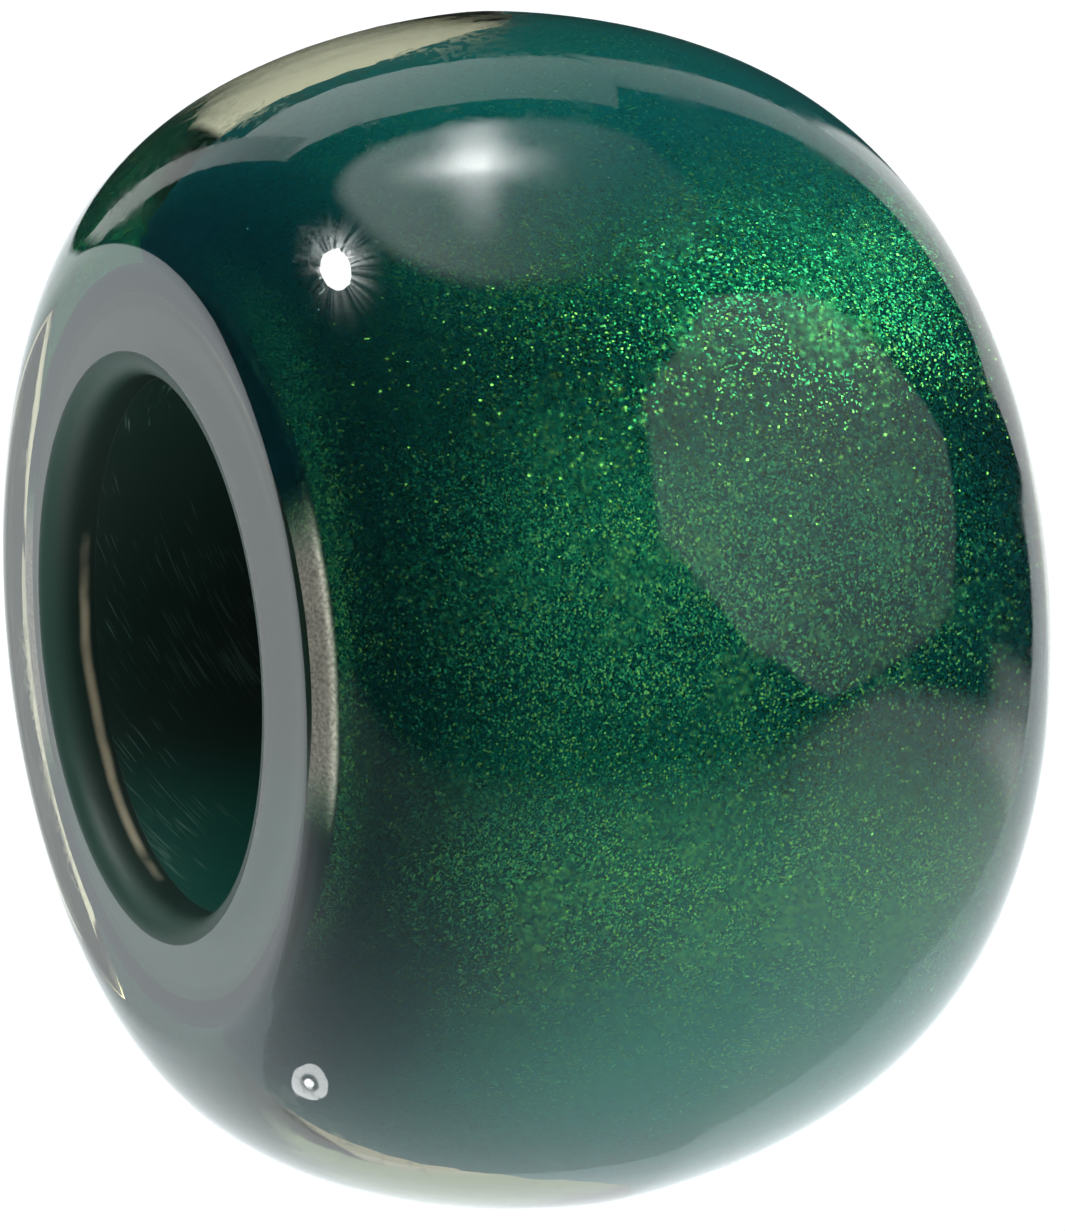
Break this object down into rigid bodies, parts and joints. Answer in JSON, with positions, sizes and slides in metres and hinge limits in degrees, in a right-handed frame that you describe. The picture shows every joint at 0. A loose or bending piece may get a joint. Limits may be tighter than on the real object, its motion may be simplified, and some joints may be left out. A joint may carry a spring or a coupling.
{
  "type": "european charm bead",
  "caption": "Squat round glass bead with a wide polished bore, ground flat ends and a glittering green core under clear glass, to slide onto a charm bracelet.",
  "frame": {"origin": "middle of the bead, on the centre line of the bore", "axes": "+Z along the bore, from one flat to the other, alike both ways"},
  "size_m": [0.014, 0.014, 0.0092],
  "materials": {
    "clear_glass": "polished clear glass, with fine-ground flats",
    "glitter_glass": "dense green and gold glitter in dark green glass",
    "dark_glass": "nearly black green glass, drilled and lightly scratched"
  },
  "bodies": {
    "root": {"clear_casing": "clear_glass", "shimmer_coat": "glitter_glass", "dark_core": "dark_glass"}
  },
  "joints": []
}
